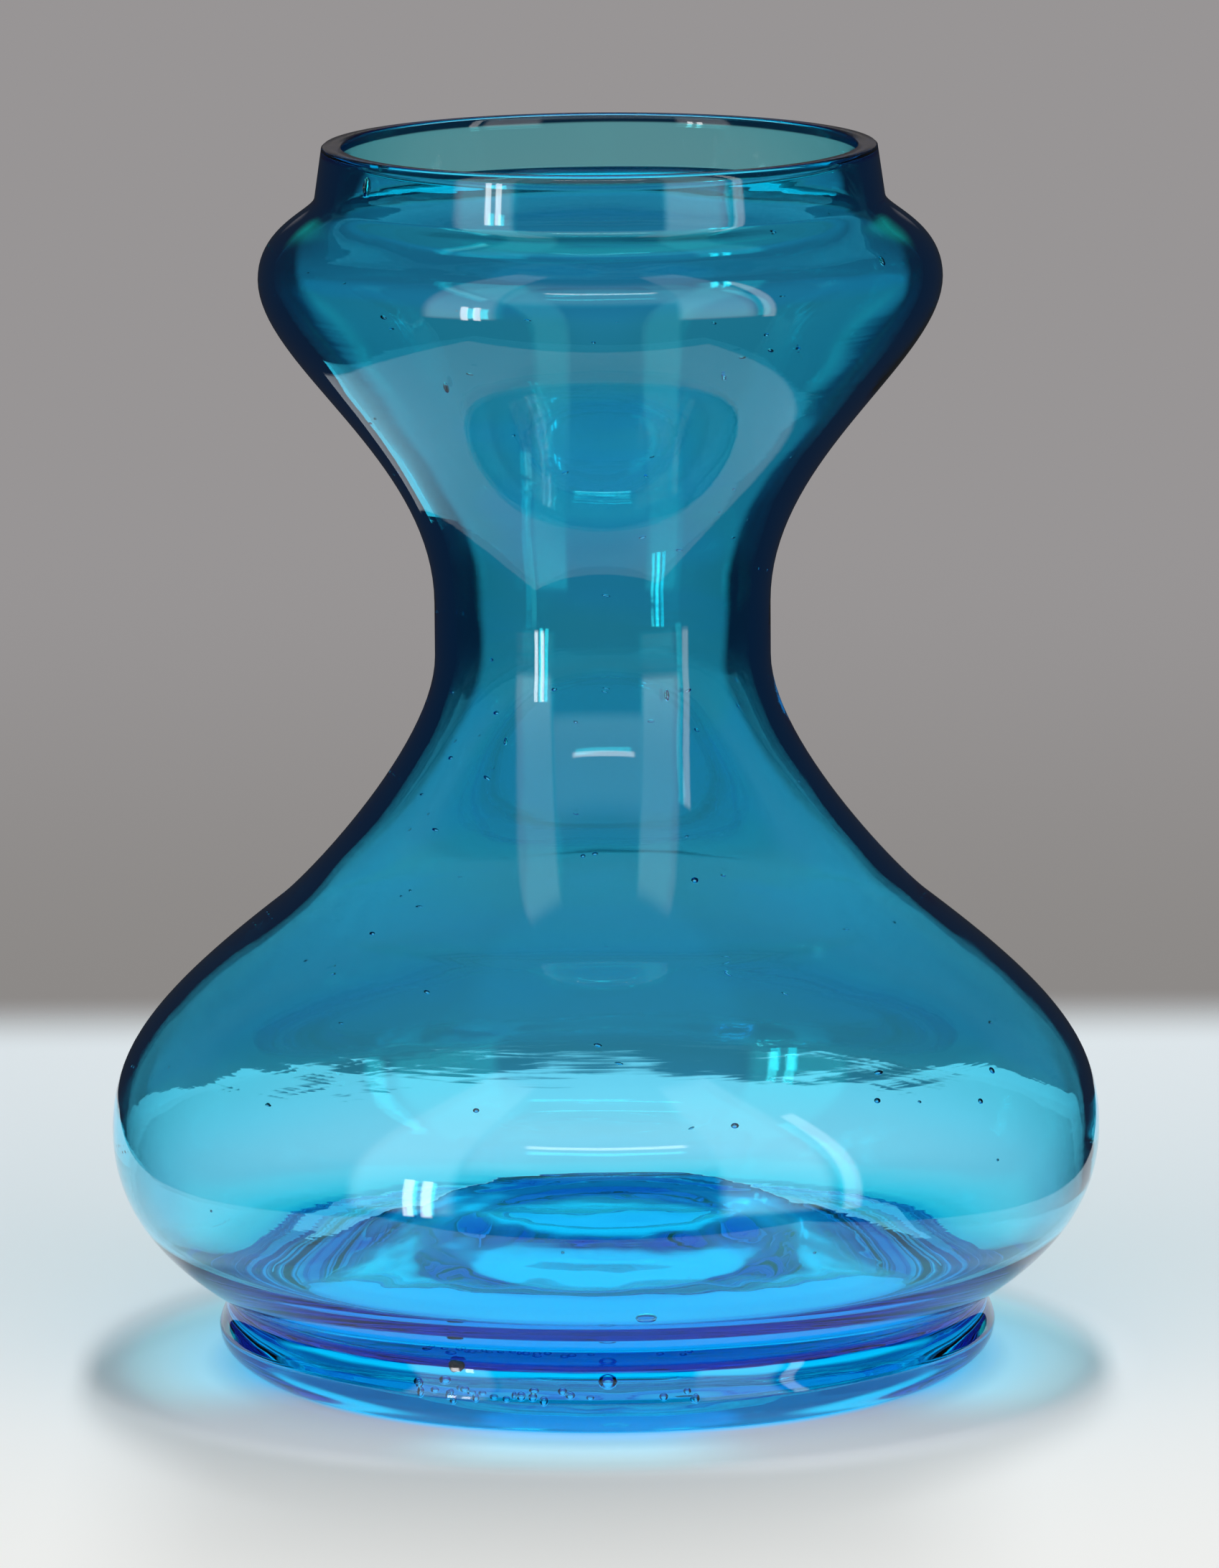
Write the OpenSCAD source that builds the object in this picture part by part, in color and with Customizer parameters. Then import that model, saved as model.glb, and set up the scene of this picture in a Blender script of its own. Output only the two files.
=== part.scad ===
// Hyacinth forcing vase of blue glass, blown in a turn mould.
// The wall is one outline turned about the axis. It is divided at its own form lines:
// collar, cup, waist, reservoir, floor and foot. Lengths are millimetres and angles degrees.
// The origin is the middle of the ring that the foot stands on, with +Z up.

/* [Rim and collar] */
// Height from the table to the ground rim
overall_h = 148; // [132:0.5:165]
// Outside diameter of the ground rim
rim_d = 66.7; // [60:0.1:72]
// Thickness of the glass at the ground rim
rim_wall = 2.45; // [1.6:0.05:4]
// Outside diameter at the bottom of the collar
collar_d = 68.5; // [62:0.1:75]
// Height of the upright collar
collar_h = 6.2; // [4:0.1:9]
// Thickness of the glass at the bottom of the collar
collar_wall = 2.35; // [1.6:0.05:4]
// Reach of the hollow curve under the collar
collar_sweep = 2.1; // [1:0.1:4]

/* [Cup for the bulb] */
// Outside diameter of the cup at its widest ring
cup_d = 82.3; // [77:0.1:92]
// Drop from the rim to the widest ring of the cup
cup_drop = 16; // [13:0.5:22]
// Thickness of the glass at the widest ring of the cup
cup_wall = 2.2; // [1.4:0.05:4]
// Reach of the curve above the widest ring
cup_bow_up = 6.3; // [4:0.1:8]
// Reach of the curve below the widest ring
cup_bow_down = 9.9; // [6:0.1:14]

/* [Waist] */
// Outside diameter of the waist
waist_d = 40.6; // [34:0.1:50]
// Height of the lower end of the straight waist
waist_z = 86; // [78:0.5:94]
// Length of the straight waist
waist_h = 6.5; // [2:0.5:12]
// Thickness of the glass at the waist
waist_wall = 2.4; // [1.5:0.05:5]
// Reach of the flare above the waist
waist_flare_up = 17.7; // [10:0.1:24]
// Reach of the flare below the waist
waist_flare_down = 10.6; // [6:0.1:18]

/* [Reservoir] */
// Outside diameter of the reservoir at its widest ring
belly_d = 120; // [108:0.5:136]
// Height of the widest ring
belly_z = 28; // [25:0.5:33]
// Thickness of the glass at the widest ring
belly_wall = 1.75; // [1.2:0.05:4]
// Reach of the curve above the widest ring
belly_bow_up = 8.7; // [5:0.1:14]
// Reach of the curve below the widest ring
belly_bow_down = 9; // [6:0.1:12]
// Outside diameter where the shoulder turns into the neck
shoulder_d = 80; // [70:0.5:92]
// Height where the shoulder turns into the neck
shoulder_z = 55.5; // [50:0.5:62]
// Slope of the shoulder there, up from level
shoulder_slope = 38; // [30:1:48]
// Reach of the shoulder's curve below that point
shoulder_reach_down = 21; // [14:0.5:24]
// Reach of the neck's curve above that point
shoulder_reach_up = 5; // [2:0.5:9]
// Thickness of the glass at that point
shoulder_wall = 2; // [1.3:0.05:4]

/* [Foot] */
// Diameter of the foot at its ridge
foot_d = 94.6; // [88:0.1:102]
// Height of the ridge
foot_ridge_z = 4.2; // [2.5:0.1:6]
// Outside diameter of the ring that stands on the table
tread_d = 88.6; // [82:0.1:94]
// Width of the ring that stands on the table
tread_w = 2; // [1:0.1:4]
// Diameter of the hollow neck between the foot and the reservoir
foot_neck_d = 92.4; // [86:0.1:98]
// Height of the foot, up to the reservoir
foot_h = 8.4; // [7:0.1:11]
// Depth of the hollow curve of the foot's side
foot_cove = 0.35; // [0:0.05:0.8]
// Reach of that hollow curve from the ridge and from the reservoir
foot_cove_reach = 1.5; // [0.5:0.1:2]
// Set-back of the curve that rounds the foot's lower edge
foot_edge_inset = 0.6; // [0.2:0.1:1.2]
// Slope at which the reservoir leaves the foot, up from level
heel_slope = 29.5; // [20:0.5:40]
// Reach of the reservoir's curve above the foot
heel_reach = 9; // [5:0.1:13]

/* [Floor] */
// Thickness of the glass over the foot, up to the lowest ring of the floor
heel_t = 4.1; // [2.5:0.1:6]
// Diameter of the lowest ring of the floor
gutter_d = 88; // [80:0.5:94]
// Reach of the inner curve outwards from the lowest ring
gutter_reach = 10; // [6:0.5:13]
// Reach of the inner curve below the widest ring of the reservoir
inner_bow = 8.5; // [5:0.1:11]
// Diameter of the foot of the crown in the middle of the floor
hill_d = 48; // [42:0.5:56]
// Rise of the floor from its lowest ring to the foot of the crown
hill_rise = 4.3; // [2:0.1:6]
// Diameter of the crown
crown_d = 35.4; // [28:0.2:40]
// Rise of the crown's edge above the foot of the crown
crown_rise = 2.4; // [1:0.1:4]
// Rise of the middle above the crown's edge
crown_bulge = 0.8; // [0:0.1:2]
// Slope of the crown at its edge, as a fall over the reach of its curve
crown_lip = 0.3; // [0:0.1:0.6]
// Reach of the step's curve outwards from the crown's edge
step_reach_in = 2.4; // [1:0.1:3]
// Reach of the step's curve inwards from the foot of the crown
step_reach_out = 2.6; // [1:0.1:3]
// Rise of the step's curve over that reach
step_lift = 1.1; // [0.4:0.1:1.6]
// Reach of the slope's curve outwards from the foot of the crown
slope_reach_in = 6; // [3:0.5:8]
// Fall of the slope's curve over that reach
slope_fall = 1.7; // [0.5:0.1:2.5]
// Reach of the slope's curve inwards from the lowest ring
slope_reach_out = 7; // [3:0.5:9]
// Height of the kick-up under the floor, at the edge of the ground pontil dish
kick_h = 11; // [8:0.1:12.5]
// Lean of the kick-up's wall inwards, just above the tread
kick_lean = 0.8; // [0.2:0.1:2]
// Diameter of the ground pontil dish
pontil_d = 36; // [28:0.2:42]
// Depth of the ground pontil dish
pontil_depth = 2.2; // [1:0.1:3]

/* [Hidden] */
$fn = 180;

glass = [0.04, 0.55, 0.78, 0.55];
steps = 18;
fine_steps = 6;
// Room that a cutting cylinder needs outside the glass
spare = 5;
// Shares of the ridge's height at which the foot's lower edge is pulled out
edge_pull = [0.35, 0.6];
// Share of its radius over which the crown's middle stays level
crown_level = 0.35;
// Shares of the kick-up's height, and of its way in, at which its curve bends
kick_pull = [0.45, 0.8];

// Radii
rim_r = rim_d / 2;
collar_r = collar_d / 2;
cup_r = cup_d / 2;
waist_r = waist_d / 2;
belly_r = belly_d / 2;
tread_r = tread_d / 2;
pontil_r = pontil_d / 2;

// Heights that follow from others
collar_z = overall_h - collar_h;
cup_z = overall_h - cup_drop;
waist_top = waist_z + waist_h;
gutter_z = foot_h + heel_t;
hill_z = gutter_z + hill_rise;
crown_z = hill_z + crown_rise;

// Points of the outer outline, as [radius, height]
rim = [rim_r, overall_h];
collar = [collar_r, collar_z];
cup = [cup_r, cup_z];
waist_up = [waist_r, waist_top];
waist_low = [waist_r, waist_z];
shoulder = [shoulder_d / 2, shoulder_z];
belly = [belly_r, belly_z];
heel = [foot_neck_d / 2, foot_h];
ridge = [foot_d / 2, foot_ridge_z];
tread = [tread_r, 0];

// Points of the inner outline and of the underside
gutter = [gutter_d / 2, gutter_z];
hill = [hill_d / 2, hill_z];
crown = [crown_d / 2, crown_z];
crown_top = [0, crown_z + crown_bulge];
tread_in = [tread_r - tread_w, 0];
pontil = [pontil_r, kick_h];
belly_in = [belly_r - belly_wall, belly_z];

// Directions of the outline
up = [0, 1];
out = [1, 0];
taper = (rim - collar) / norm(rim - collar);
shoulder_dir = [-cos(shoulder_slope), sin(shoulder_slope)];
heel_dir = [cos(heel_slope), sin(heel_slope)];

// A stretch of outline is a Bezier curve of four points
cup_shoulder_line = [cup, cup + cup_bow_up * up, collar - collar_sweep * taper, collar];
bulb_cup_line = [waist_up, waist_up + waist_flare_up * up, cup - cup_bow_down * up, cup];
neck_line = [shoulder, shoulder + shoulder_reach_up * shoulder_dir,
             waist_low - waist_flare_down * up, waist_low];
shoulder_line = [belly, belly + belly_bow_up * up,
                 shoulder - shoulder_reach_down * shoulder_dir, shoulder];
bowl_line = [heel, heel + heel_reach * heel_dir, belly - belly_bow_down * up, belly];
bowl_inner_line = [gutter, gutter + gutter_reach * out, belly_in - inner_bow * up, belly_in];

// The foot's side: a round edge up to the ridge, then a shallow cove up to the reservoir
edge_line = [tread, [ridge[0] - foot_edge_inset, edge_pull[0] * ridge[1]],
             [ridge[0], edge_pull[1] * ridge[1]], ridge];
cove_line = [ridge, ridge + [-foot_cove, foot_cove_reach],
             heel - [foot_cove, foot_cove_reach], heel];

// The floor: out from the crown's middle to the lowest ring
crown_line = [crown_top, crown_top + crown_level * crown[0] * out,
              crown + [-crown_level * crown[0], crown_lip], crown];
step_line = [crown, crown + [step_reach_in, -crown_lip], hill + [-step_reach_out, step_lift], hill];
slope_line = [hill, hill + [slope_reach_in, -slope_fall], gutter - slope_reach_out * out, gutter];

// The underside: from the tread up to the edge of the pontil dish
kick_line = [tread_in, [tread_in[0] - kick_lean, kick_pull[0] * kick_h],
             [mix(tread_in[0], pontil_r, kick_pull[0]), kick_pull[1] * kick_h], pontil];

// Radius of the ball that the pontil dish is ground with
pontil_ball_r = (pontil_r * pontil_r + pontil_depth * pontil_depth) / (2 * pontil_depth);

function mix(a, b, t) = a + (b - a) * t;
function ease(t) = t * t * (3 - 2 * t);
function backwards(list) = [for (i = [len(list) - 1:-1:0]) list[i]];

// Point and direction of a Bezier curve at t, from 0 to 1
function curve_point(c, t) =
    pow(1 - t, 3) * c[0] + 3 * pow(1 - t, 2) * t * c[1] + 3 * (1 - t) * t * t * c[2] + pow(t, 3) * c[3];
function curve_run(c, t) =
    pow(1 - t, 2) * (c[1] - c[0]) + 2 * (1 - t) * t * (c[2] - c[1]) + t * t * (c[3] - c[2]);
function curve(c, n) = [for (i = [0:n]) curve_point(c, i / n)];

// Direction into the glass, square to an outline that runs upwards
function inward(run) = [-run[1], run[0]] / norm(run);

// The inner face lies one wall inside the outer face, and the wall changes evenly along it
function inner_face(c, wall_low, wall_high) = [
    for (i = [0:steps])
        let (t = i / steps)
        curve_point(c, t) + mix(wall_low, wall_high, ease(t)) * inward(curve_run(c, t))
];

// A turned ring of wall along one stretch of outline
module wall_ring(c, wall_low, wall_high) {
    rotate_extrude()
        polygon(concat(curve(c, steps), backwards(inner_face(c, wall_low, wall_high))));
}

// The upright collar, ground flat at the rim
module rim_collar() {
    color(glass)
        rotate_extrude()
            polygon([
                collar,
                rim,
                rim - rim_wall * out,
                collar + collar_wall * inward(taper)
            ]);
}

// The cup's upper side, which turns in under the collar
module cup_shoulder() {
    color(glass) wall_ring(cup_shoulder_line, cup_wall, collar_wall);
}

// The flare that the bulb sits in, from the waist to the widest ring of the cup
module bulb_cup() {
    color(glass) wall_ring(bulb_cup_line, waist_wall, cup_wall);
}

// The neck, from the shoulder up through the straight waist
module neck() {
    waist_in = waist_r - waist_wall;
    color(glass)
        rotate_extrude()
            polygon(concat(
                curve(neck_line, steps),
                [waist_up, [waist_in, waist_top]],
                backwards(inner_face(neck_line, shoulder_wall, waist_wall))
            ));
}

// The reservoir above its widest ring
module reservoir_shoulder() {
    color(glass) wall_ring(shoulder_line, belly_wall, shoulder_wall);
}

// The reservoir below its widest ring, thicker towards the floor
module reservoir_bowl() {
    color(glass)
        rotate_extrude()
            polygon(concat(curve(bowl_line, steps), backwards(curve(bowl_inner_line, steps))));
}

// The whole base: foot, pushed-up floor and the hollow under it
module base_blank() {
    difference() {
        rotate_extrude()
            polygon(concat(
                curve(edge_line, fine_steps),
                curve(cove_line, fine_steps),
                backwards(curve(slope_line, steps)),
                backwards(curve(step_line, fine_steps)),
                backwards(curve(crown_line, fine_steps)),
                [[0, kick_h]],
                backwards(curve(kick_line, steps))
            ));
        pontil_dish();
    }
}

// The shallow dish that grinding leaves where the pontil rod was broken off
module pontil_dish() {
    intersection() {
        translate([0, 0, kick_h + pontil_depth - pontil_ball_r]) sphere(r = pontil_ball_r);
        cylinder(r = pontil_r, h = crown_z);
    }
}

// The floor with its kick-up, above the foot
module base_floor() {
    color(glass)
        difference() {
            base_blank();
            translate([0, 0, -spare]) cylinder(r = belly_r, h = foot_h + spare);
        }
}

// The foot, up to the reservoir
module foot_ring() {
    color(glass)
        intersection() {
            base_blank();
            translate([0, 0, -spare]) cylinder(r = belly_r, h = foot_h + spare);
        }
}

rim_collar();
cup_shoulder();
bulb_cup();
neck();
reservoir_shoulder();
reservoir_bowl();
base_floor();
foot_ring();
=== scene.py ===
# %% [markdown]
# # A hyacinth forcing vase of blown blue glass
#
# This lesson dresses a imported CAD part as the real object: one piece of turquoise glass, blown in
# a mould in which it was kept turning, with a ground rim, a cup for the bulb, a waist, a broad
# reservoir and a thick foot. The CAD model comes first. It fixes every size, and the pieces below
# stay inside its box.

from math import acos, cos, degrees, hypot, pi, radians, sin
from random import Random

import bmesh
import bpy
from mathutils import Matrix, Vector, noise


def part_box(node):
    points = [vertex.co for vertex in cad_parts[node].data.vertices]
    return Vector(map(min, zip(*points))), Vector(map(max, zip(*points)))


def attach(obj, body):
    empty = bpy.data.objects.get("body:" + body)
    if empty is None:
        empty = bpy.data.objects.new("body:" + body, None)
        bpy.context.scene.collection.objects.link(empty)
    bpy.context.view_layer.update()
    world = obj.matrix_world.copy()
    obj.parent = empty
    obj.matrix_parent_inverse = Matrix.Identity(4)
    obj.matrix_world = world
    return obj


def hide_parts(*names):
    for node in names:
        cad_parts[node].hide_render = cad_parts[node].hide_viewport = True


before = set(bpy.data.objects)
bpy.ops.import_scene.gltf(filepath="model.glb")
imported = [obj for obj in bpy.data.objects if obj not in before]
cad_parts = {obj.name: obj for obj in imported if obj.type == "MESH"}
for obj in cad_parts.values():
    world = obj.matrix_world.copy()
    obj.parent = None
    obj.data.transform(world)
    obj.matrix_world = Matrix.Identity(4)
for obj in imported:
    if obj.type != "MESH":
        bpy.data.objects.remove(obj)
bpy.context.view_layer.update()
mm = 0.001
vase_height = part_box("rim_collar")[1].z
print("nodes:", ", ".join(sorted(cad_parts)))
print(f"the vase is {vase_height / mm:.1f} mm tall")

# %% [markdown]
# ## The camera
#
# A picture of a small object is nearly always taken with a long lens from more than a metre away,
# which keeps its ellipses flat. The rim's and the foot's ellipses give the height of the camera
# and its tilt, and the sizes of near and far ellipses give the distance. The camera could be aimed
# with a constraint, but one matrix is plainer: its columns are the camera's right, up and back.

# %% Camera
picture_height = 2184
camera_distance, camera_height = 1342 * mm, 306 * mm
focal_pixels = 15675
tilt_down, lean, turn_right = radians(9.97), radians(0.388), 8.15 / focal_pixels

forward = Vector((
    sin(turn_right) * cos(tilt_down), cos(turn_right) * cos(tilt_down), -sin(tilt_down)))
level_right = forward.cross(Vector((0, 0, 1))).normalized()
level_up = level_right.cross(forward)
right = level_right * cos(lean) - level_up * sin(lean)
upright = level_right * sin(lean) + level_up * cos(lean)

lens = bpy.data.cameras.new("camera")
lens.sensor_fit = "VERTICAL"
lens.sensor_height = 24
lens.lens = lens.sensor_height * focal_pixels / picture_height
lens.clip_start, lens.clip_end = 0.05, 50
camera = bpy.data.objects.new("camera", lens)
camera.matrix_world = Matrix.Translation((0, -camera_distance, camera_height)) @ Matrix(
    (right, upright, -forward)).transposed().to_4x4()
bpy.context.scene.collection.objects.link(camera)
bpy.context.scene.camera = camera
print(f"lens {lens.lens:.0f} mm, seen from {degrees(tilt_down):.1f} degrees above")

# %% [markdown]
# ## The outline
#
# The maker's mould and the turning give the glass one outline all the way round. It could be a
# list of measured points, but the real curve is smooth between a few form lines, so it is drawn
# as stretches between them. Each stretch is a Bezier curve of four points, and each point is a
# radius and a height in millimetres. A stretch can also be moved inwards by the wall's thickness.

# %% Curves for the outline
def point(radius, height):
    return Vector((radius, height))


def bezier(a, b, c, d, pieces):
    """Points along a Bezier stretch, without its last one."""
    return [
        a * (1 - t) ** 3 + b * 3 * t * (1 - t) ** 2 + c * 3 * t * t * (1 - t) + d * t ** 3
        for t in (i / pieces for i in range(pieces))
    ]


def inside(a, b, c, d, wall_a, wall_d, pieces):
    """The inner face of a stretch: every point moved one wall inwards, without the last one."""
    found = []
    for i, here in enumerate(bezier(a, b, c, d, pieces)):
        t = i / pieces
        run = (b - a) * (1 - t) ** 2 + (c - b) * 2 * t * (1 - t) + (d - c) * t * t
        wall = wall_a + (wall_d - wall_a) * t * t * (3 - 2 * t)
        found.append(here + Vector((-run.y, run.x)).normalized() * wall)
    return found


up, out = Vector((0, 1)), Vector((1, 0))
quarter = bezier(out, out + 0.55 * up, up + 0.55 * out, up, 2)
print("half way along a quarter round:", [round(n, 2) for n in quarter[1]])

# %% Form lines of the vase
rim = point(33.35, vase_height / mm)
collar, cup = point(34.25, 141.8), point(41.15, 132)
waist_top, waist_low = point(20.3, 92.5), point(20.3, 86)
shoulder, belly = point(40, 55.5), point(60, 28)
heel, ridge, tread = point(46.2, 8.4), point(47.3, 4.2), point(44.3, 0)
gutter, hill, crown, crown_top = point(44, 12.5), point(24, 16.8), point(17.7, 19.2), point(0, 20)
tread_inner, pontil, dish_depth = point(42.3, 0), point(18, 11), 2.2
rim_wall, collar_wall, cup_wall = 2.45, 2.35, 2.2
waist_wall, shoulder_wall, belly_wall = 2.4, 2, 1.75
print(f"belly {2 * belly.x:.0f} mm wide, waist {2 * waist_low.x:.1f} mm, rim {2 * rim.x:.1f} mm")

# %% Stretches that the outer and the inner face share
taper = (rim - collar).normalized()
shoulder_run = point(-cos(radians(38)), sin(radians(38)))
heel_run = point(cos(radians(29.5)), sin(radians(29.5)))
belly_inner = belly - belly_wall * out

cup_shoulder_line = (cup, cup + 6.3 * up, collar - 2.1 * taper, collar)
cup_line = (waist_top, waist_top + 17.7 * up, cup - 9.9 * up, cup)
waist_line = (waist_low, waist_low + 2 * up, waist_top - 2 * up, waist_top)
neck_line = (shoulder, shoulder + 5 * shoulder_run, waist_low - 10.6 * up, waist_low)
shoulder_line = (belly, belly + 8.7 * up, shoulder - 21 * shoulder_run, shoulder)
bowl_line = (heel, heel + 9 * heel_run, belly - 9 * up, belly)
print("the shoulder meets the neck at", tuple(shoulder))

# %% [markdown]
# ## The ground rim
#
# The blower cracked the vase off and ground its rim flat, then took the sharpness off both edges.
# A bevel could cut these two arrises, but two more points in the outline do the same and keep
# every ring of the mesh clean.

# %% The closed outline
outer_arris, inner_arris = 0.2, 0.25
outer = (
    bezier(tread, ridge + point(-0.6, -2.73), ridge - 1.68 * up, ridge, 12)
    + bezier(ridge, ridge + point(-0.35, 1.5), heel - point(0.35, 1.5), heel, 10)
    + bezier(*bowl_line, 30) + bezier(*shoulder_line, 34) + bezier(*neck_line, 26)
    + bezier(*waist_line, 6) + bezier(*cup_line, 34) + bezier(*cup_shoulder_line, 22)
    + bezier(collar, collar + 2 * taper, rim - 2.2 * taper, rim - outer_arris * taper, 8)
    + [rim - outer_arris * taper, rim - outer_arris * out]
)
inner = (
    bezier(gutter, gutter + 10 * out, belly_inner - 8.5 * up, belly_inner, 30)
    + inside(*shoulder_line, belly_wall, shoulder_wall, 34)
    + inside(*neck_line, shoulder_wall, waist_wall, 26)
    + inside(*waist_line, waist_wall, waist_wall, 6)
    + inside(*cup_line, waist_wall, cup_wall, 34)
    + inside(*cup_shoulder_line, cup_wall, collar_wall, 22)
    + inside(collar, collar + 2 * taper, rim - 2 * taper, rim, collar_wall, rim_wall, 8)
)[:-1] + [rim - rim_wall * out - inner_arris * up, rim - (rim_wall - inner_arris) * out]
print(len(outer), "points outside and", len(inner), "inside")

# %% [markdown]
# ## The floor and the hollow under it
#
# The floor was pushed up with a tool while the glass was soft, so it rises to a crown in the
# middle. Under it the pontil rod was broken off, and its scar ground to a shallow dish with a
# round stone. The dish is an arc, so its points come from the radius of that stone.

# %% Floor and underside
crown_round = 0.35 * crown.x
floor_line = (
    bezier(crown_top, crown_top + crown_round * out, crown + point(-crown_round, 0.3), crown, 10)
    + bezier(crown, crown + point(2.4, -0.3), hill + point(-2.6, 1.1), hill, 10)
    + bezier(hill, hill + point(6, -1.7), gutter - 7 * out, gutter, 16)
)
stone_radius = (pontil.x ** 2 + dish_depth ** 2) / (2 * dish_depth)
dish_angle = acos(1 - dish_depth / stone_radius)
dish_top = pontil.y + dish_depth
dish_steps = 16
dish = [
    point(stone_radius * sin(a), dish_top - stone_radius * (1 - cos(a)))
    for a in (dish_angle * (1 - i / dish_steps) for i in range(dish_steps))
]
kick_up = bezier(
    tread_inner, tread_inner + point(-0.8, 0.45 * pontil.y),
    point(0.55 * tread_inner.x + 0.45 * pontil.x, 0.8 * pontil.y), pontil, 24)
underside = kick_up + dish + [point(0, dish_top)]
outline = underside[::-1] + outer + inner[::-1] + floor_line[::-1]
print(f"{len(outline)} points in the outline, grinding stone {2 * stone_radius:.0f} mm across")

# %% [markdown]
# ## The glass body
#
# A glass-blower turns the gather in the mould. The operator for that is spin: it sweeps an open
# line of edges round an axis. The line starts and ends on the axis, so the swept skin closes, and
# merging doubles joins the poles. Normals are made to point outwards once it is closed.

# %% Spin the outline
def spin_outline(points, turns):
    mesh = bmesh.new()
    verts = [mesh.verts.new((p.x * mm, 0, p.y * mm)) for p in points]
    edges = [mesh.edges.new(pair) for pair in zip(verts, verts[1:])]
    bmesh.ops.spin(
        mesh, geom=verts + edges, cent=(0, 0, 0), axis=(0, 0, 1), angle=2 * pi, steps=turns,
        use_merge=True, use_normal_flip=False, use_duplicate=False)
    bmesh.ops.remove_doubles(mesh, verts=mesh.verts, dist=0.002 * mm)
    bmesh.ops.recalc_face_normals(mesh, faces=mesh.faces)
    return mesh


steps_round = 200
glass_mesh = spin_outline(outline, steps_round)
volume = glass_mesh.calc_volume() / mm ** 3
print(len(glass_mesh.faces), "faces,", round(volume / 1000), "cubic centimetres of glass")

# %% [markdown]
# ## The blown surface
#
# The mould shapes only the outside. The inside is shaped by breath, so it is never quite even,
# and light that passes near the edge of the glass shows it as a ragged line. A bump would bend
# the shading but not the wall, so the vertices themselves are moved along their normals by
# smooth noise. The pattern is stretched round the axis, because the glass was turned. The floor,
# which a tool pushed up, is the most uneven, and its underside with it.

# %% Uneven inner face
def unevenness(place, around, along):
    """Smooth noise from -1 to 1 that changes over so many millimetres round and along the axis."""
    return noise.noise(Vector((place.x / around, place.y / around, place.z / along)) / mm)


glass_mesh.normal_update()
tread_top, floor_top, rim_edge = 1.5 * mm, 20.5 * mm, vase_height - 1 * mm
bowl_radius = 43 * mm
floor_wave, floor_ripple = 0.08, 0.03
bowl_wave, neck_wave, wall_ripple = 0.018, 0.018 + 0.05, 0.009
moved = 0
for vert in glass_mesh.verts:
    radius = hypot(vert.co.x, vert.co.y)
    faces_in = vert.normal.x * vert.co.x + vert.normal.y * vert.co.y < 0
    if tread_top < vert.co.z < floor_top and radius < bowl_radius:
        shift = floor_wave * unevenness(vert.co, 9, 9)
        shift += floor_ripple * unevenness(vert.co, 3.5, 3.5)
    elif faces_in and floor_top < vert.co.z < rim_edge:
        shift = (neck_wave if radius < bowl_radius else bowl_wave) * unevenness(vert.co, 14, 7)
        shift += wall_ripple * unevenness(vert.co, 6, 1.6)
    else:
        continue
    vert.co += vert.normal * shift * mm
    moved += 1
print(moved, "vertices of the inside and the floor were moved a little")

# %% [markdown]
# ## Seeds and blisters
#
# Old glass holds small bubbles, called seeds, drawn out by the turning, and a few larger
# blisters. A seed could be a dark dot in the colour, but a real one is a hollow that bends light,
# so each is a small ball in the same mesh, pulled longer, and turned inside out: its skin faces
# the hollow, as the skin of the vase faces the air. The largest are put where the photograph
# shows them. A seeded draw puts a row of fine ones in the front of the foot and scatters the rest.

# %% One seed
foot_points = 20
above_foot = outer[foot_points:]


def wall_at(height):
    """Outer radius at a height in millimetres, and the outline's slope there. The foot's wall is
    taken as upright."""
    for low, high in zip(above_foot, above_foot[1:]):
        if low.y <= height < high.y:
            share = (height - low.y) / (high.y - low.y)
            return low.x + (high.x - low.x) * share, high - low
    return heel.x, up


seed_mesh = bmesh.new()


def seed(angle, height, length, width, depth, slant=0.0):
    """A bubble at an angle from the front in degrees, and at a depth below the outer face."""
    radius, run = wall_at(height)
    inward = Vector((-run.y, 0, run.x)).normalized()
    middle = Vector((radius, 0, height)) + inward * depth
    made = bmesh.ops.create_icosphere(seed_mesh, subdivisions=2, radius=0.5 * mm)
    shape = Matrix.Rotation(slant, 4, "X") @ Matrix.Diagonal((width, length, width, 1))
    turn = Matrix.Rotation(radians(angle) - pi / 2, 4, "Z")
    place = turn @ Matrix.Translation(middle * mm) @ shape
    bmesh.ops.transform(seed_mesh, matrix=place, verts=made["verts"])


print("the widest wall is at", round(wall_at(belly.y)[0], 1), "mm from the axis")

# %% All the seeds
# angle from the front in degrees, then height, length, width and depth in millimetres
blisters = (
    (22.6, 84.1, 0.5, 1.5, 1.1), (-33, 78.8, 0.4, 1.0, 1.2), (20, 64, 0.9, 0.8, 1.0),
    (-56, 145.3, 0.5, 2.4, 1.1), (58, 136.6, 0.7, 1.3, 1.1), (-30, 122.7, 0.5, 1.6, 1.2),
    (35, 40.4, 0.9, 0.7, 0.9), (37, 43.2, 1.3, 0.6, 0.9), (-16, 41.1, 0.8, 0.6, 0.9),
    (-47, 57.1, 0.9, 0.5, 1.0), (56, 40.9, 0.8, 0.9, 0.9), (51, 38.2, 0.8, 0.7, 0.9),
    (0, 6.2, 2.3, 2.1, 1.5), (-25, 5.6, 1.6, 1.2, 1.1), (-23.5, 3.6, 0.9, 0.9, 1.0),
    (4.8, 15.4, 2.6, 1.0, 1.6), (-5, 66.9, 0.6, 0.5, 1.0), (15.5, 39.3, 1.0, 0.7, 0.9))
for blister in blisters:
    seed(*blister)

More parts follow.
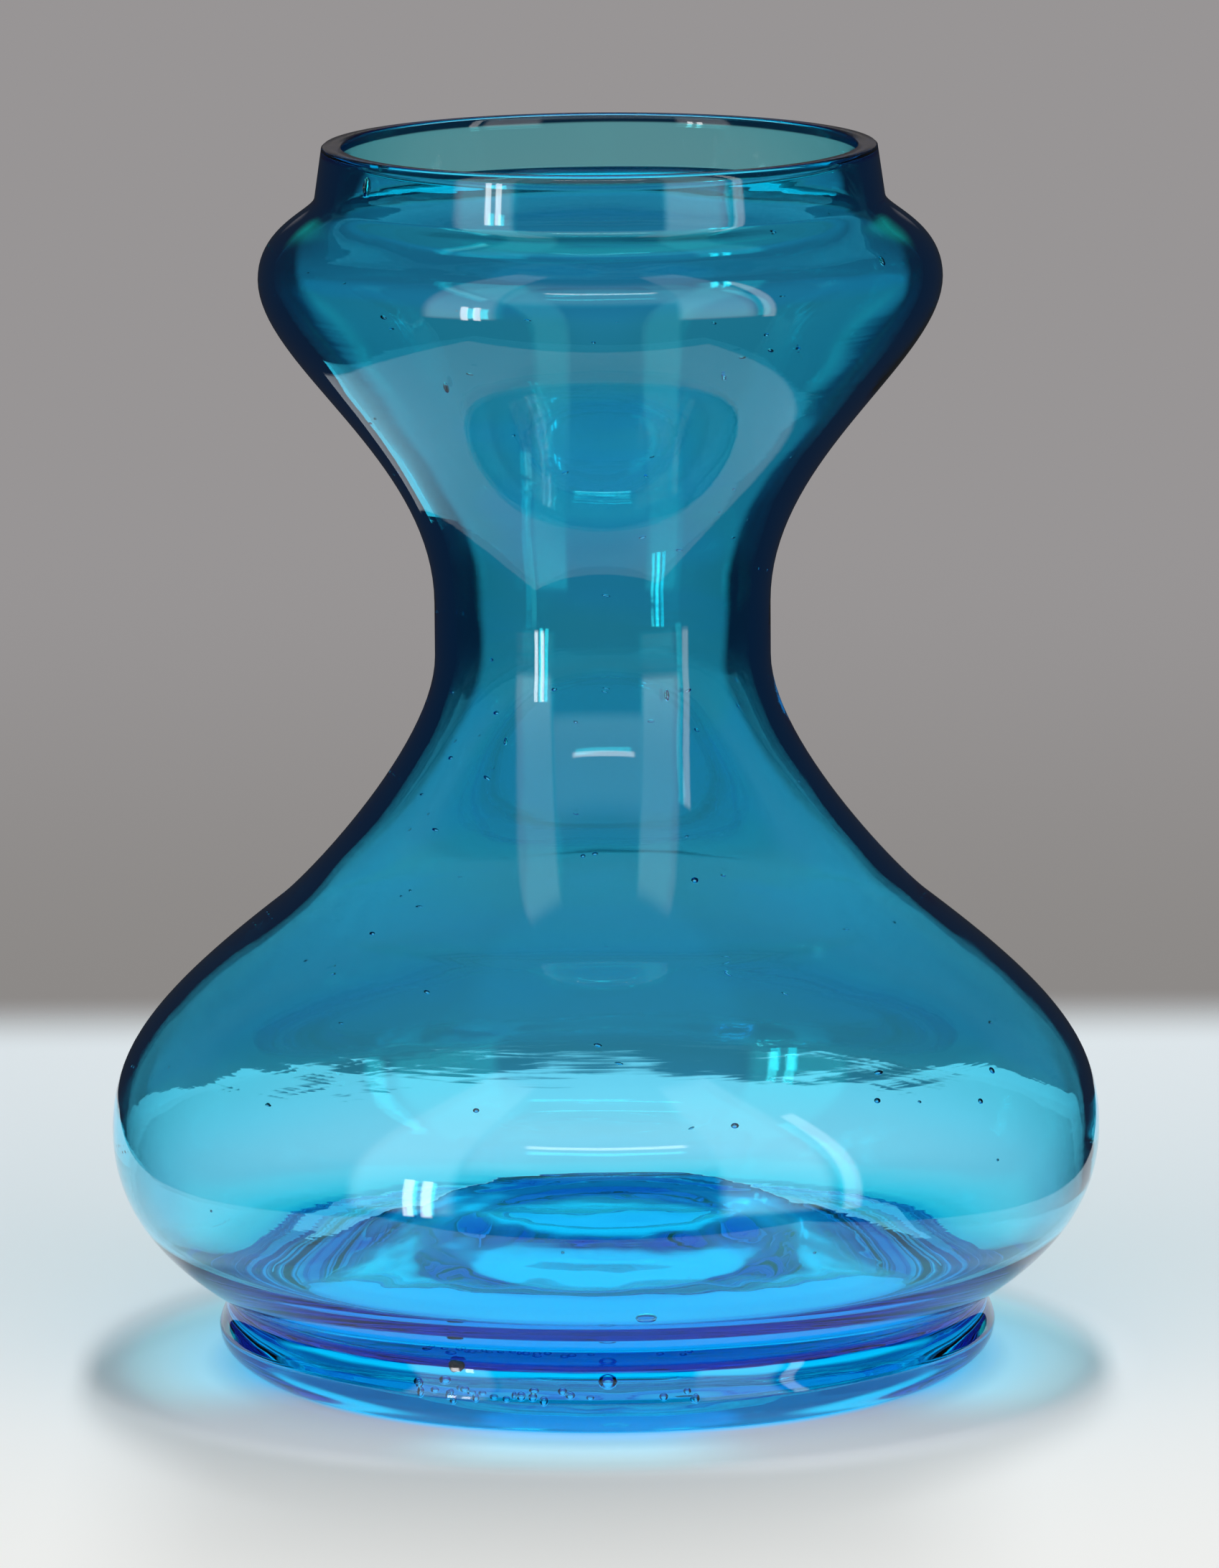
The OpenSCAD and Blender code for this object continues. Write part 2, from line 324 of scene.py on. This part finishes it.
foot_seeds, scattered_seeds = 26, 110
draw = Random(7)
for _ in range(foot_seeds):
    seed(draw.uniform(-32, 14), draw.uniform(3.9, 5.2), draw.uniform(0.6, 1.3),
         draw.uniform(0.6, 1.1), draw.uniform(0.8, 1.2))
for _ in range(scattered_seeds):
    seed(draw.uniform(-180, 180), draw.uniform(22, 140), draw.uniform(0.4, 1.1),
         draw.uniform(0.25, 0.5), draw.uniform(0.6, 1.2), draw.uniform(-0.4, 0.4))
bmesh.ops.reverse_faces(seed_mesh, faces=seed_mesh.faces)
seeds = bpy.data.meshes.new("seeds")
seed_mesh.to_mesh(seeds)
seed_mesh.free()
glass_mesh.from_mesh(seeds)
bpy.data.meshes.remove(seeds)
print(len(blisters), "blisters; the mesh has", len(glass_mesh.faces), "faces")

# %% [markdown]
# ## A wrapper for shader maths
#
# A material is a tree of nodes, and a formula of ten nodes is hard to read as ten calls. This class
# wraps one output socket, so that arithmetic on it adds the Math nodes, and one method adds any
# other kind of node.

# %% Wire
class Wire:
    """One output of a node. Arithmetic on it adds Math nodes to its tree."""

    def __init__(self, tree, socket=None):
        self.tree, self.socket = tree, socket

    def join(self, value, socket):
        """Links a wire to a socket, or writes a plain value there."""
        if isinstance(value, Wire):
            self.tree.links.new(value.socket, socket)
        elif isinstance(value, tuple) and socket.type == "RGBA":
            socket.default_value = (*value[:3], 1)
        else:
            socket.default_value = value

    def node(self, kind, settings=None, inputs=None, output=0):
        """Adds a node of any kind: its settings first, then the values or links of its inputs."""
        made = self.tree.nodes.new(kind)
        for name, value in (settings or {}).items():
            if name == "stops":
                ramp = made.color_ramp
                while len(ramp.elements) < len(value):
                    ramp.elements.new(0.5)
                for element, (at, colour) in zip(ramp.elements, value):
                    element.position, element.color = at, (*colour, 1)
            else:
                setattr(made, name, value)
        for name, value in (inputs or {}).items():
            self.join(value, made.inputs[name])
        return Wire(self.tree, made.outputs[output])

    def outputs(self, *names):
        """More outputs of the node that this wire comes from."""
        return [Wire(self.tree, self.socket.node.outputs[name]) for name in names]

    def maths(self, operation, *values):
        return self.node("ShaderNodeMath", {"operation": operation}, dict(enumerate(values)))

    def __add__(self, other):
        return self.maths("ADD", self, other)

    def __mul__(self, other):
        return self.maths("MULTIPLY", self, other)

    def __sub__(self, other):
        return self.maths("SUBTRACT", self, other)

    def __rsub__(self, other):
        return self.maths("SUBTRACT", other, self)

    def __truediv__(self, other):
        return self.maths("DIVIDE", self, other)

    def __gt__(self, other):
        return self.maths("GREATER_THAN", self, other)

    __radd__, __rmul__ = __add__, __mul__

    def between(self, low, high):
        """Rises smoothly from 0 at low to 1 at high."""
        return self.node("ShaderNodeMapRange", {"interpolation_type": "SMOOTHSTEP"}, {
            "Value": self, "From Min": low, "From Max": high})

    def slab(self, low, high, soft):
        """1 between low and high, and 0 outside them."""
        return self.between(low - soft, low + soft) * (1 - self.between(high - soft, high + soft))

    def blend(self, first, second):
        """A colour: first where this wire is 0, second where it is 1. The Mix node has sockets for
        every kind of data, and the two colours are its inputs 6 and 7 and its output 2."""
        return self.node("ShaderNodeMix", {"data_type": "RGBA"}, {0: self, 6: first, 7: second}, 2)


def new_material(name):
    material = bpy.data.materials.new(name)
    material.use_nodes = True
    material.node_tree.nodes.clear()
    return material, Wire(material.node_tree)


def finish_material(tree, surface, volume=None):
    output = tree.tree.nodes.new("ShaderNodeOutputMaterial")
    tree.join(surface, output.inputs["Surface"])
    if volume:
        tree.join(volume, output.inputs["Volume"])


# %% [markdown]
# ## Blue glass
#
# The colour of this glass is in its body, not on its face: thin walls are pale and the thick foot
# is deep blue. A tinted surface would colour both alike, so the surface is clear and the body
# swallows light over its length, nearly all the red, a little green and hardly any blue. Turning
# in the mould left fine level lines, which are a bump here. The rim was ground and never polished,
# so it is rougher than the rest.

# %% Glass
glass, g = new_material("blue_glass")
place = g.node("ShaderNodeTexCoord", output="Object")
height = place.node("ShaderNodeSeparateXYZ", inputs={"Vector": place}).outputs("Z")[0]
ground = height.between(vase_height - 0.15 * mm, vase_height - 0.05 * mm)


def turned_lines(round_scale, level_scale, detail):
    """Noise drawn out round the axis, as the mould draws lines on the turning glass."""
    stretched = place.node("ShaderNodeVectorMath", {"operation": "MULTIPLY"}, {
        0: place, 1: (round_scale, round_scale, level_scale)})
    return place.node(
        "ShaderNodeTexNoise", None, {"Vector": stretched, "Scale": 1.0, "Detail": detail})


fine_lines, broad_lines = turned_lines(30, 1100, 2.0), turned_lines(55, 160, 1.0)
relief = fine_lines + 6 * broad_lines
grit = g.node("ShaderNodeTexNoise", None, {"Vector": place, "Scale": 3500.0})
surface_shape = g.node("ShaderNodeBump", None, {
    "Strength": 1.0, "Distance": 0.003 * mm, "Height": relief + ground * grit * 3})
ground_roughness = 0.22
surface = g.node("ShaderNodeBsdfPrincipled", None, {
    "Base Color": (1.0, 1.0, 1.0), "Roughness": ground * ground_roughness, "IOR": 1.5,
    "Transmission Weight": 1.0, "Normal": surface_shape})
body = g.node("ShaderNodeVolumeAbsorption", None, {"Color": (0.12, 0.958, 0.991), "Density": 760})
finish_material(g, surface, body)
print("the glass has", len(g.tree.nodes), "nodes")

# %% [markdown]
# ## From mesh to piece
#
# The vase is one piece of glass, so it stands for all eight sections of the CAD part at once.
# It rides on the body root, and its object stays at the origin with its place in its mesh.

# %% The vase
def finish_piece(mesh, name, material):
    for face in mesh.faces:
        face.smooth = True
    data = bpy.data.meshes.new(name)
    mesh.to_mesh(data)
    mesh.free()
    data.materials.append(material)
    piece = bpy.data.objects.new(name, data)
    bpy.context.scene.collection.objects.link(piece)
    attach(piece, "root")
    return piece


vase = finish_piece(glass_mesh, "vase_glass", glass)
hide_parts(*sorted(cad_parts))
print(vase.name, "has", len(vase.data.polygons), "faces")

# %% [markdown]
# ## A stone in the foot
#
# A crumb of the furnace's brick melted into the foot: a dark stone, as glass-makers call it. It
# could be painted on, but it lies inside the glass, so it is a small lump of its own. The lump
# starts as a ball and is roughened by noise.

# %% Stone
stone_mesh = bmesh.new()
made = bmesh.ops.create_icosphere(stone_mesh, subdivisions=3, radius=0.5 * mm)
for vert in made["verts"]:
    vert.co *= 1 + 0.35 * noise.noise(vert.co / mm * 3)
stone_turn, stone_size = Matrix.Rotation(radians(-23.1) - pi / 2, 4, "Z"), (0.8, 1.9, 1.9, 1)
stone_middle = Matrix.Translation((45.5 * mm, 0, 7.9 * mm))
stone_place = stone_turn @ stone_middle @ Matrix.Diagonal(stone_size)
bmesh.ops.transform(stone_mesh, matrix=stone_place, verts=made["verts"])

stone_finish, s = new_material("furnace_stone")
speckle = s.node("ShaderNodeTexNoise", None, {
    "Vector": s.node("ShaderNodeTexCoord", output="Object"), "Scale": 2600.0, "Detail": 4.0})
finish_material(s, s.node("ShaderNodeBsdfPrincipled", None, {
    "Base Color": speckle.between(0.4, 0.65).blend((0.006, 0.005, 0.008), (0.05, 0.035, 0.03)),
    "Roughness": 0.7,
    "Normal": s.node("ShaderNodeBump", None, {"Distance": 0.05 * mm, "Height": speckle})}))
stone = finish_piece(stone_mesh, "stone_in_foot", stone_finish)
print(f"the stone is {stone.dimensions.length / mm:.1f} mm long")

# %% [markdown]
# ## The table
#
# The vase stands on a white table whose back edge is out of focus. The blurred edge is a soft mask
# between white and clear, for the camera alone: what passes through the vase meets the edge as
# sharp as it is. The table is a grid, just below the foot, with its paint and its ends in the
# material. Its white is painted paler towards the front and darker and bluer towards the back:
# painted light, standing in for the way the lamp and the daylight fall on it.

# %% Table
table_reach, table_drop = 0.4, -0.05 * mm
table_mesh = bmesh.new()
bmesh.ops.create_grid(table_mesh, x_segments=8, y_segments=8, size=table_reach)
bmesh.ops.translate(table_mesh, verts=table_mesh.verts, vec=(0, 0, table_drop))
table_data = bpy.data.meshes.new("table")
table_mesh.to_mesh(table_data)
table_mesh.free()
table = bpy.data.objects.new("table", table_data)
bpy.context.scene.collection.objects.link(table)

white, t = new_material("white_table")
place = t.node("ShaderNodeTexCoord", output="Object")
px, py = place.node("ShaderNodeSeparateXYZ", inputs={"Vector": place}).outputs("X", "Y")
is_camera, inside_ray = t.node("ShaderNodeLightPath").outputs("Is Camera Ray", "Is Transmission Ray")
lit_area = px.slab(-0.140, 0.105, 2 * mm) * py.slab(-0.134, 0.206, 2 * mm)
seen_area = px.slab(-0.24, 0.24, 20 * mm) * py.slab(-0.21, 0.208, 21 * mm)
beyond = 1 - (is_camera * seen_area + (1 - is_camera) * lit_area)
# painted light: the white is paler at the front and darker and bluer at the back
front_white_painted_lit, back_white_painted_dim = (0.94, 0.94, 0.92), (0.66, 0.71, 0.74)
white_through_glass = (0.98, 0.70, 0.88)
white_with_painted_light = py.between(-0.15, 0.08).blend(front_white_painted_lit, back_white_painted_dim)
white_with_painted_light = inside_ray.blend(white_with_painted_light, white_through_glass)
print("the bare table has", len(t.tree.nodes), "nodes")

# %% [markdown]
# ## Light on the table
#
# Light that the blue glass gathers on the table makes a bright blue ring inside the shadow,
# strongest beside the foot and right in front. Path tracing finds that light slowly, so it is
# painted by its distance from the foot and by its direction. Real glass also lets a little deep
# red through. Three colour numbers can't show that beside the strong blue, so the part of the
# table that is seen through the glass is given a painted red glow, and less of it near the foot.

# %% Gathered light
# the distance is in tenths of a metre, because a colour ramp runs from 0 to 1
ring_forward, tenth = 4 * mm, 0.1
from_foot = t.maths("SQRT", px * px + (py + ring_forward) * (py + ring_forward)) / tenth
gathered = t.node("ShaderNodeValToRGB", {"stops": (
    (0.41, (0.0, 0.32, 0.66)), (0.455, (0.04, 0.30, 0.44)), (0.495, (0.16, 0.42, 0.52)),
    (0.54, (0.15, 0.33, 0.38)), (0.57, (0.11, 0.24, 0.27)), (0.60, (0.06, 0.10, 0.11)),
    (0.63, (0.02, 0.02, 0.02)), (0.66, (0.0, 0.0, 0.0)))}, {0: from_foot})
off_front = t.maths("ABSOLUTE", t.maths("ARCTAN2", px, py * -1) * (180 / pi) + 4)
focused = off_front.between(44, 70) + (1 - off_front.between(8, 26)) * 0.95
focused = t.maths("MAXIMUM", focused, 1 - from_foot.between(0.41, 0.43))
leaked = from_foot.between(0.58, 0.67).blend((0.15, 0.155, 0.17), (0.0, 0.0, 0.0))
# painted red glow: an emission on the table, seen only through the glass and weaker near the foot
painted_red_glow = (1.0, 0.03, 0.0)
gathered = focused.blend(leaked, gathered)
lit = t.node("ShaderNodeAddShader", None, {
    0: t.node("ShaderNodeBsdfDiffuse", None, {"Color": white_with_painted_light}),
    1: t.node("ShaderNodeEmission", None, {"Color": gathered, "Strength": 1.0})})
painted_red_strength = inside_ray * (0.25 + from_foot.between(0.5, 0.75) * 0.55)
lit = t.node("ShaderNodeAddShader", None, {
    0: lit, 1: t.node("ShaderNodeEmission", None, {"Color": painted_red_glow, "Strength": painted_red_strength})})
finish_material(t, t.node("ShaderNodeMixShader", None, {
    0: beyond, 1: lit, 2: t.node("ShaderNodeBsdfTransparent")}))
table_data.materials.append(white)
print("the table has", len(t.tree.nodes), "nodes")

# %% [markdown]
# ## The room
#
# Glass shows nothing but its surroundings, so most of its look is the room. Light Path tells rays
# apart by what they met before, so each kind can find a room of its own. The camera sees a plain
# grey wall. A ray that went through the glass meets grey panels, one every 45 degrees, with black
# between them, as a studio's black flags give glass its dark outline. The two beside the panel at
# the back are left out, which makes the outline wider. Thin glass lets more red through than three
# colour numbers say, so a ray that passed one wall alone, as at the mouth, meets a warmer grey.

# %% World
world = bpy.data.worlds.new("room")
bpy.context.scene.world = world
world.use_nodes = True
world.node_tree.nodes.clear()
w = Wire(world.node_tree)
look = w.node("ShaderNodeTexCoord", output="Generated")
dx, dy, dz = look.node("ShaderNodeSeparateXYZ", inputs={"Vector": look}).outputs("X", "Y", "Z")
is_camera, glossy, through, scattered = w.node("ShaderNodeLightPath").outputs(
    "Is Camera Ray", "Glossy Depth", "Transmission Depth", "Diffuse Depth")
azimuth = w.maths("ARCTAN2", dx, dy)
aside = azimuth * (180 / pi)
off_back = w.maths("ABSOLUTE", aside)
climb = w.maths("ARCSINE", dz) * (180 / pi)

print("the room's directions take", len(w.tree.nodes), "nodes")

# %% Wall and panels
# the wall that the camera sees is a little darker towards its bottom
wall = climb.between(-11.2, -8.6).blend((0.262, 0.25, 0.242), (0.314, 0.3, 0.302))

low_grey, mid_grey, high_grey = (0.30, 0.215, 0.295), (0.27, 0.215, 0.345), (0.24, 0.165, 0.27)
one_wall_grey, under_table = (0.50, 0.29, 0.30), (0.012, 0.016, 0.035)
black_flag = (0.010, 0.014, 0.035)
panels_round = 8
on_panel = w.maths("COSINE", azimuth * panels_round).between(cos(radians(90)), cos(radians(66)))
on_panel = on_panel * (1 - off_back.slab(20, 68, 2.0))
panel_grey = climb.between(-9.5, -7.5).blend(low_grey, mid_grey)
panel_grey = climb.between(-7, -3).blend(panel_grey, high_grey)
panel_grey = (through > 2.5).blend(one_wall_grey, panel_grey)
panel_grey = climb.between(-13, -16).blend(panel_grey, under_table)
panels = on_panel.blend(black_flag, panel_grey)
panels = dz.between(0.3, 0.8).blend(panels, (0.5, 0.5, 0.55))
print("with its wall and", panels_round - 2, "panels it takes", len(w.tree.nodes))

# %% [markdown]
# ## Windows
#
# The outside of the vase mirrors a dim room with two tall windows, left and right behind the
# camera. They could be lamps, but a lamp would light the table too, so they are pale patches of
# the world, each given by its sides in degrees round the room and its ends in degrees of climb.
# A bar of light joins them high up, and a few thin bars are far brighter, as clear panes are.

# %% Windows
def window(left, right, low, high, soft=1.0):
    """1 inside a window, in degrees round the room and up. The wall behind the vase is at 0, and
    the camera at 180 or -180, with its left from -180 to 0 and its right from 0 to 180."""
    return aside.slab(left, right, soft) * climb.slab(low, high, soft)


left_window, right_window = window(-144, -119, -8, 70, 2.0), window(127, 153, -8, 70, 2.0)
crossbar = off_back.between(143, 147) * climb.slab(22, 57, 6.0) * 0.6
pale = w.maths("MAXIMUM", left_window + right_window, crossbar)
sky = climb.between(0, 52).blend((2.0, 2.05, 2.1), (1.1, 1.15, 1.2))
bars = window(-139.5, -137, -10, 11, 0.4) + window(-135, -132.5, -10, 11, 0.4)
reveal = window(119.5, 124, -10, 50, 0.8) * 0.25
streak = off_back.between(157, 160) * climb.slab(39.5, 41.5, 0.4)
bright = w.maths("MAXIMUM", bars + reveal, streak * 0.5)
print("with its windows it takes", len(w.tree.nodes))

# %% [markdown]
# ## What each kind of ray sees
#
# Light that is turned back inside the wall runs up or down in it and comes out elsewhere, which
# draws the dark and bright lines of the cup, the foot and the floor. Such a ray has a Glossy Depth
# as well as a Transmission Depth. It finds near black, save for a glow over the wall at the back
# and a blue one overhead. A ray that passed two walls finds the glow wider, and a dim blue where
# it climbs. The table and other dull things are lit by plain daylight from the camera's side.

# %% Rooms
deep = through > 3.5
dark, dim_blue, overhead_blue = (0.010, 0.014, 0.04), (0.05, 0.22, 0.42), (0.2, 0.42, 0.85)
trapped = (deep * climb.between(0, 10)).blend(dark, dim_blue)
trapped = climb.between(66, 72).blend(trapped, overhead_blue)
rising = climb.slab(17, 62, 6.0) * (1 - (off_back - deep * 20).between(5, 26))
trapped = rising.blend(trapped, deep.blend((0.6, 1.6, 1.2), (0.7, 1.25, 1.3)))
behind = (1 - off_back.between(8, 14)) * climb.slab(5, 11, 1.0)
dim_room, lit_wall, sunlit = (0.02, 0.022, 0.025), (0.33, 0.31, 0.32), (14.0, 14.0, 14.0)
mirrored = behind.blend(dim_room, lit_wall)
room = (through > 0.5).blend(mirrored, trapped)
room = pale.blend(room, sky)
room = bright.blend(room, sunlit)
daylight = dy.between(0.2, -0.6).blend((0.1, 0.1, 0.1), (1.0, 1.0, 1.0))

seen = (through > 0.5).blend(daylight, panels)
seen = (glossy > 0.5).blend(seen, room)
seen = (scattered > 0.5).blend(seen, daylight)
seen = is_camera.blend(seen, wall)
shine = w.node("ShaderNodeBackground", None, {"Color": seen, "Strength": 1.0})
w.join(shine, w.tree.nodes.new("ShaderNodeOutputWorld").inputs["Surface"])
print("the room has", len(w.tree.nodes), "nodes")

# %% [markdown]
# ## The lamp
#
# The shadow on the table is a crisp ring a little wider than the belly, moved towards the camera.
# So there is one long narrow light high up behind the vase. The glass doesn't mirror it, because
# the room already holds what the glass mirrors.

# %% Lamp
strip = bpy.data.lights.new("overhead_strip", "AREA")
strip.shape, strip.size, strip.size_y = "RECTANGLE", 0.09, 0.72
strip.energy = 5.0
lamp = bpy.data.objects.new("overhead_strip", strip)
lamp.location = (0.035, 0.304, 0.8)
lamp.visible_camera = lamp.visible_glossy = lamp.visible_transmission = False
bpy.context.scene.collection.objects.link(lamp)
print(f"the lamp gives {strip.energy} W")

# %% [markdown]
# ## View
#
# The standard view shows a colour as it is written. A ray may pass a dozen faces of glass before it
# leaves, so the limits on bounces are raised, and gloss isn't blurred after the first bounce,
# because that would lose the light that comes up through the foot.

# %% View
scene = bpy.context.scene
scene.view_settings.view_transform = "Standard"
scene.cycles.blur_glossy = 0.0
scene.cycles.max_bounces = 32
scene.cycles.transmission_bounces = 24
scene.cycles.glossy_bounces = 16
scene.cycles.transparent_max_bounces = 16
print("view transform:", scene.view_settings.view_transform)
